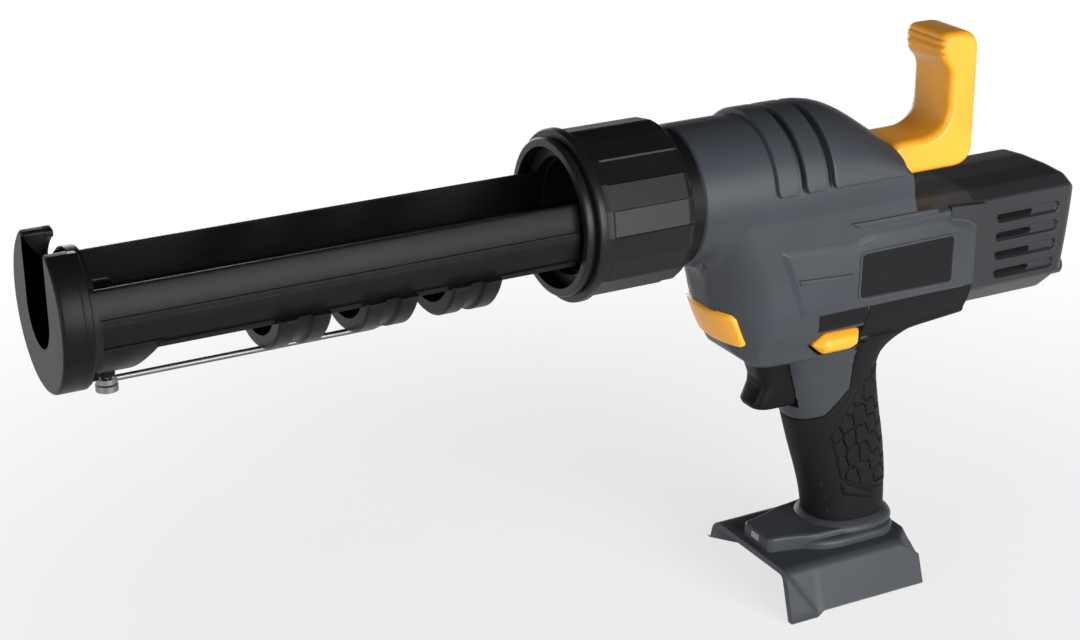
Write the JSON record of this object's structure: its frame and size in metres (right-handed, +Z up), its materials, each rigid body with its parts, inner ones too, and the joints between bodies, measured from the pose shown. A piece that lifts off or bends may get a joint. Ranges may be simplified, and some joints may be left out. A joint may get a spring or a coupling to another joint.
{
  "type": "cordless caulking gun",
  "caption": "Cordless caulking gun with an open cartridge cradle, fluted locking collar, rack-driven piston rod, pistol grip, battery foot and orange pull handle.",
  "frame": {"origin": "middle of the battery foot, level with the lower edge of its skirts", "axes": "+X forward along the barrel to the nozzle, +Y to the tool's left, +Z up"},
  "size_m": [0.481, 0.074, 0.261],
  "materials": {
    "slate_plastic": "fine moulded grain",
    "black_plastic": "satin moulded",
    "orange_plastic": "satin moulded",
    "rubber": "soft matte with raised tiles",
    "plate_black": "smooth bare plate",
    "zinc_steel": "zinc plated",
    "gear_steel": "cut and hardened",
    "bronze": "sintered",
    "board_green": "lacquered board",
    "lens_clear": "clear lens",
    "nylon": "natural nylon"
  },
  "bodies": {
    "housing": {"housing_left": "slate_plastic", "housing_right": "slate_plastic", "grip_rubber_left": "rubber", "grip_rubber_right": "rubber", "rear_cap": "slate_plastic", "name_plate_left": "plate_black", "name_plate_right": "plate_black", "front_spigot": "black_plastic", "rod_bush_front": "nylon", "rod_bush_rear": "nylon", "housing_screws": "zinc_steel", "rear_cap_screws": "zinc_steel", "motor_can": "zinc_steel", "motor_magnets": "gear_steel", "motor_bearings": "bronze", "motor_plate": "zinc_steel", "ring_gear": "gear_steel", "gearbox_cover": "nylon", "carrier_bush": "bronze", "bevel_bush": "bronze", "shaft_bushes": "bronze", "trigger_switch": "black_plastic", "trigger_spring": "zinc_steel", "release_spring": "zinc_steel", "control_board": "board_green", "lamp_lens": "lens_clear", "terminal_block": "black_plastic", "terminal_blades": "bronze", "cradle_tray": "black_plastic", "cradle_front_cap": "black_plastic", "seal_pin_screw": "zinc_steel"},
    "rod": {"piston_rod": "zinc_steel", "plunger_disc": "black_plastic", "plunger_screw": "zinc_steel", "pull_handle": "orange_plastic", "handle_pin": "zinc_steel"},
    "collar": {"lock_collar": "black_plastic"},
    "seal_pin": {"seal_pin": "zinc_steel"},
    "trigger": {"trigger": "black_plastic"},
    "lock_off": {"lock_off_button": "orange_plastic"},
    "release": {"release_button": "orange_plastic"},
    "motor": {"motor_armature": "gear_steel", "sun_pinion": "gear_steel"},
    "carrier": {"planet_carrier": "gear_steel"},
    "planet_1": {"planet_gear_1": "gear_steel"},
    "planet_2": {"planet_gear_2": "gear_steel"},
    "planet_3": {"planet_gear_3": "gear_steel"},
    "bevel_drive": {"bevel_pinion": "gear_steel"},
    "cross_drive": {"bevel_gear": "gear_steel", "cross_shaft": "gear_steel", "small_spur": "gear_steel"},
    "rack_drive": {"large_spur": "gear_steel", "upper_shaft": "gear_steel", "rack_pinion": "gear_steel"}
  },
  "joints": [
    {"name": "rod_slide", "type": "slide", "parent": "housing", "child": "rod", "axis": [1, 0, 0], "range_m": [-0.215, 0]},
    {"name": "rack_turn", "type": "hinge", "parent": "housing", "child": "rack_drive", "pos_m": [0.017, 0, 0.192], "axis": [0, 1, 0], "range_deg": [-1369.73, 1]},
    {"name": "cross_turn", "type": "hinge", "parent": "housing", "child": "cross_drive", "pos_m": [0.017, 0, 0.162], "axis": [0, 1, 0], "range_deg": [-3, 4109.2]},
    {"name": "bevel_turn", "type": "hinge", "parent": "housing", "child": "bevel_drive", "pos_m": [0, 0, 0.162], "axis": [1, 0, 0], "range_deg": [-6, 8218.4]},
    {"name": "motor_spin", "type": "hinge", "parent": "housing", "child": "motor", "pos_m": [-0.08, 0, 0.162], "axis": [1, 0, 0], "continuous": true},
    {"name": "carrier_spin", "type": "hinge", "parent": "housing", "child": "carrier", "pos_m": [-0.03, 0, 0.162], "axis": [1, 0, 0], "continuous": true},
    {"name": "planet_1_spin", "type": "hinge", "parent": "carrier", "child": "planet_1", "pos_m": [-0.047, 0.0108, 0.162], "axis": [1, 0, 0], "continuous": true},
    {"name": "planet_2_spin", "type": "hinge", "parent": "carrier", "child": "planet_2", "pos_m": [-0.047, -0.0054, 0.17135], "axis": [1, 0, 0], "continuous": true},
    {"name": "planet_3_spin", "type": "hinge", "parent": "carrier", "child": "planet_3", "pos_m": [-0.047, -0.0054, 0.15265], "axis": [1, 0, 0], "continuous": true},
    {"name": "collar_turn", "type": "hinge", "parent": "housing", "child": "collar", "pos_m": [0.137, 0, 0.204], "axis": [1, 0, 0], "range_deg": [0, 60]},
    {"name": "seal_pin_swing", "type": "hinge", "parent": "housing", "child": "seal_pin", "pos_m": [0.336, 0, 0.171], "axis": [0, 0, 1], "range_deg": [-120, 0]},
    {"name": "trigger_pull", "type": "slide", "parent": "housing", "child": "trigger", "axis": [1, 0, 0], "range_m": [-0.006, 0], "stiffness_N_per_m": 800, "springref_m": 0.002, "deforming": ["trigger_spring"]},
    {"name": "lock_off_slide", "type": "slide", "parent": "housing", "child": "lock_off", "axis": [0, 1, 0], "range_m": [-0.005, 0]},
    {"name": "release_push", "type": "slide", "parent": "housing", "child": "release", "axis": [-0.9092, 0, 0.4163], "range_m": [0, 0.003], "stiffness_N_per_m": 1000, "springref_m": -0.002, "deforming": ["release_spring"]}
  ],
  "couplings": [
    {"joint": "rack_turn", "follows": "rod_slide", "rad_per_m": 111.11},
    {"joint": "cross_turn", "follows": "rod_slide", "rad_per_m": -333.33},
    {"joint": "bevel_turn", "follows": "rod_slide", "rad_per_m": -666.67},
    {"joint": "carrier_spin", "follows": "motor_spin", "ratio": 0.22222},
    {"joint": "planet_1_spin", "follows": "motor_spin", "ratio": -0.62222},
    {"joint": "planet_2_spin", "follows": "motor_spin", "ratio": -0.62222},
    {"joint": "planet_3_spin", "follows": "motor_spin", "ratio": -0.62222}
  ]
}
